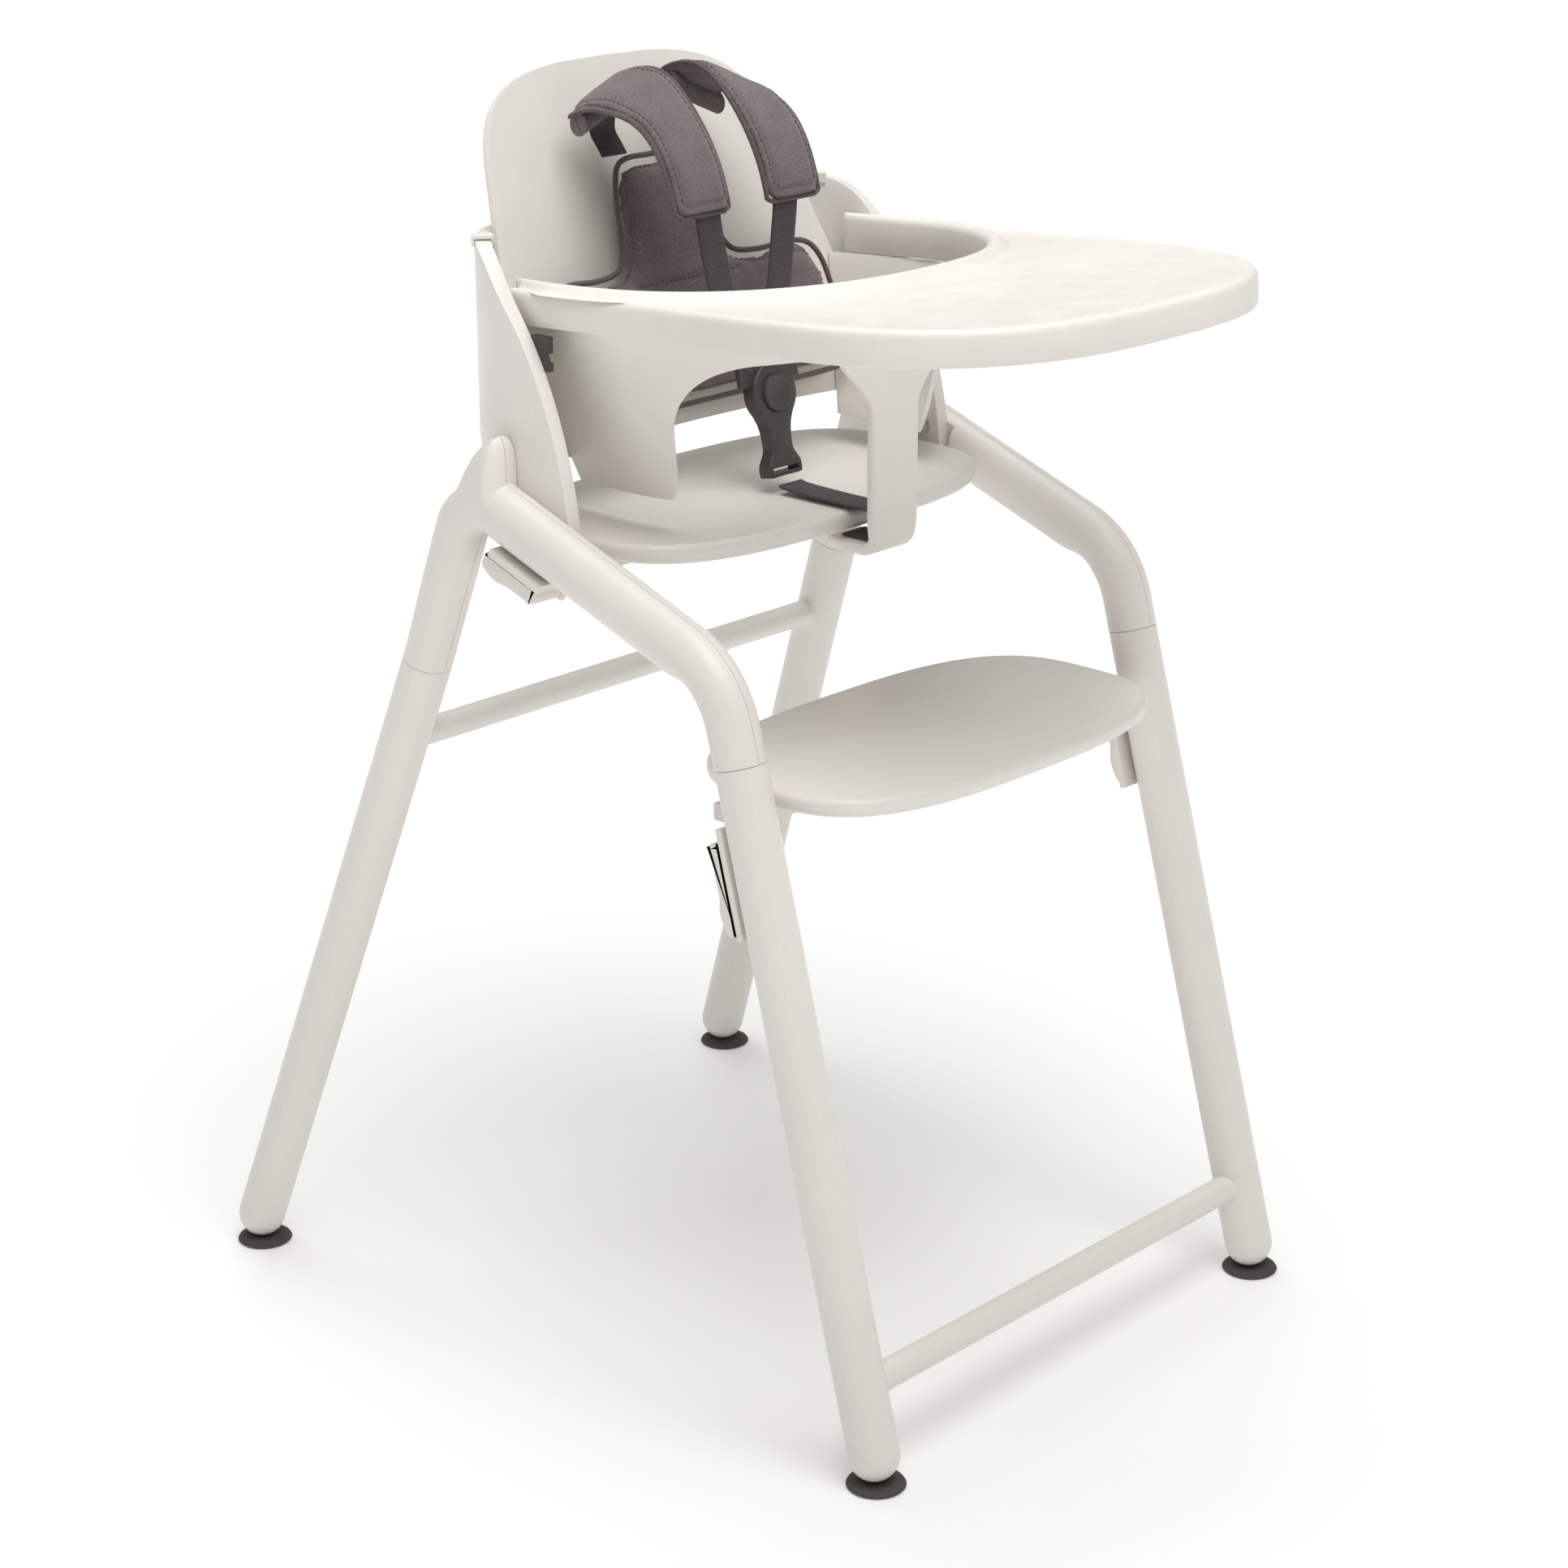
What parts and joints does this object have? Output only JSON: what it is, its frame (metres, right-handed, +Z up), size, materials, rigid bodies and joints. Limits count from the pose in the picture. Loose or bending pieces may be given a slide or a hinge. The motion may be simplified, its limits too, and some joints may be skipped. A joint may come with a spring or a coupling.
{
  "type": "baby high chair",
  "caption": "Four-legged high chair with a bent plywood back panel, sliding seat and footrest boards, a moulded baby seat with harness, and a tray.",
  "frame": {"origin": "centre of the chair's footprint box on the floor", "axes": "+Z up, the child faces -Y, +X is the child's left"},
  "size_m": [0.5652, 0.682, 0.904],
  "materials": {
    "painted_wood": "off-white satin lacquer over beech and bent plywood",
    "painted_casting": "off-white satin powder coat",
    "moulded_plastic": "off-white fine-grained moulded plastic",
    "dark_plastic": "near-black satin plastic",
    "rubber": "dark grey-brown glides",
    "steel": "zinc-plated steel",
    "beech": "bare beech dowels",
    "melange_fabric": "mauve-grey melange fabric with self binding",
    "webbing": "dark grey-purple woven webbing"
  },
  "bodies": {
    "frame": {"foot_glides": "rubber", "front_leg_right": "painted_wood", "front_leg_left": "painted_wood", "rear_leg_right": "painted_wood", "rear_leg_left": "painted_wood", "front_crossbar": "painted_wood", "rear_crossbar": "painted_wood", "outer_casting_right": "painted_casting", "outer_casting_left": "painted_casting", "inner_casting_right": "painted_casting", "inner_casting_left": "painted_casting", "leg_dowels": "beech", "casting_screws": "steel", "seat_rails": "steel", "footrest_rails": "steel", "back_panel": "painted_wood", "panel_bolts": "steel", "ring_clips": "dark_plastic", "panel_hooks": "moulded_plastic"},
    "seat": {"seat_board": "painted_wood", "seat_beam": "moulded_plastic", "seat_carrier_right": "moulded_plastic", "seat_carrier_left": "moulded_plastic", "seat_screws": "steel", "seat_lever_pins": "steel"},
    "seat_lever_r": {"seat_lever_right": "moulded_plastic"},
    "seat_lever_l": {"seat_lever_left": "moulded_plastic"},
    "footrest": {"footrest_board": "painted_wood", "footrest_carrier_right": "moulded_plastic", "footrest_carrier_left": "moulded_plastic", "footrest_screws": "moulded_plastic", "footrest_lever_pins": "steel"},
    "footrest_lever_r": {"footrest_lever_right": "moulded_plastic"},
    "footrest_lever_l": {"footrest_lever_left": "moulded_plastic"},
    "baby_set": {"back_shell": "moulded_plastic", "ring": "moulded_plastic", "crotch_post": "moulded_plastic", "back_pad": "melange_fabric", "shoulder_pad_right": "melange_fabric", "shoulder_pad_left": "melange_fabric", "shoulder_webbing": "webbing", "buckle_body": "dark_plastic", "buckle_tongues": "dark_plastic", "crotch_strap": "webbing", "button_spring": "steel"},
    "button": {"buckle_button": "dark_plastic"},
    "tray": {"tray_top": "moulded_plastic", "tray_underside": "moulded_plastic", "tray_latch_pin": "steel"},
    "latch": {"tray_latch": "moulded_plastic"}
  },
  "joints": [
    {"name": "seat_slide", "type": "slide", "parent": "frame", "child": "seat", "axis": [0, -0.9388, -0.3445], "range_m": [0, 0.12]},
    {"name": "seat_lever_right_hinge", "type": "hinge", "parent": "seat", "child": "seat_lever_r", "pos_m": [-0.212, 0.03729, 0.57385], "axis": [-1, 0, 0], "range_deg": [0, 18], "stiffness_Nm_per_rad": 0.6},
    {"name": "seat_lever_left_hinge", "type": "hinge", "parent": "seat", "child": "seat_lever_l", "pos_m": [0.212, 0.03729, 0.57385], "axis": [-1, 0, 0], "range_deg": [0, 18], "stiffness_Nm_per_rad": 0.6},
    {"name": "footrest_slide", "type": "slide", "parent": "frame", "child": "footrest", "axis": [0, -0.2596, -0.9657], "range_m": [0, 0.22]},
    {"name": "footrest_lever_right_hinge", "type": "hinge", "parent": "footrest", "child": "footrest_lever_r", "pos_m": [-0.21369, -0.14005, 0.42889], "axis": [1, 0, 0], "range_deg": [0, 18], "stiffness_Nm_per_rad": 0.6},
    {"name": "footrest_lever_left_hinge", "type": "hinge", "parent": "footrest", "child": "footrest_lever_l", "pos_m": [0.21369, -0.14005, 0.42889], "axis": [1, 0, 0], "range_deg": [0, 18], "stiffness_Nm_per_rad": 0.6},
    {"name": "baby_set_release", "type": "slide", "parent": "seat", "child": "baby_set", "axis": [0, -1, 0], "range_m": [0, 0.18]},
    {"name": "buckle_button_press", "type": "slide", "parent": "baby_set", "child": "button", "axis": [0, 0.9816, -0.1908], "range_m": [0, 0.0025], "stiffness_N_per_m": 800},
    {"name": "tray_slide", "type": "slide", "parent": "baby_set", "child": "tray", "axis": [0, -0.9984, 0.0559], "range_m": [0, 0.15]},
    {"name": "tray_latch_hinge", "type": "hinge", "parent": "tray", "child": "latch", "pos_m": [0, -0.16464, 0.77099], "axis": [-1, 0, 0], "range_deg": [0, 12], "stiffness_Nm_per_rad": 0.3}
  ],
  "couplings": [
    {"joint": "seat_lever_left_hinge", "follows": "seat_lever_right_hinge", "ratio": 1},
    {"joint": "footrest_lever_left_hinge", "follows": "footrest_lever_right_hinge", "ratio": 1}
  ]
}
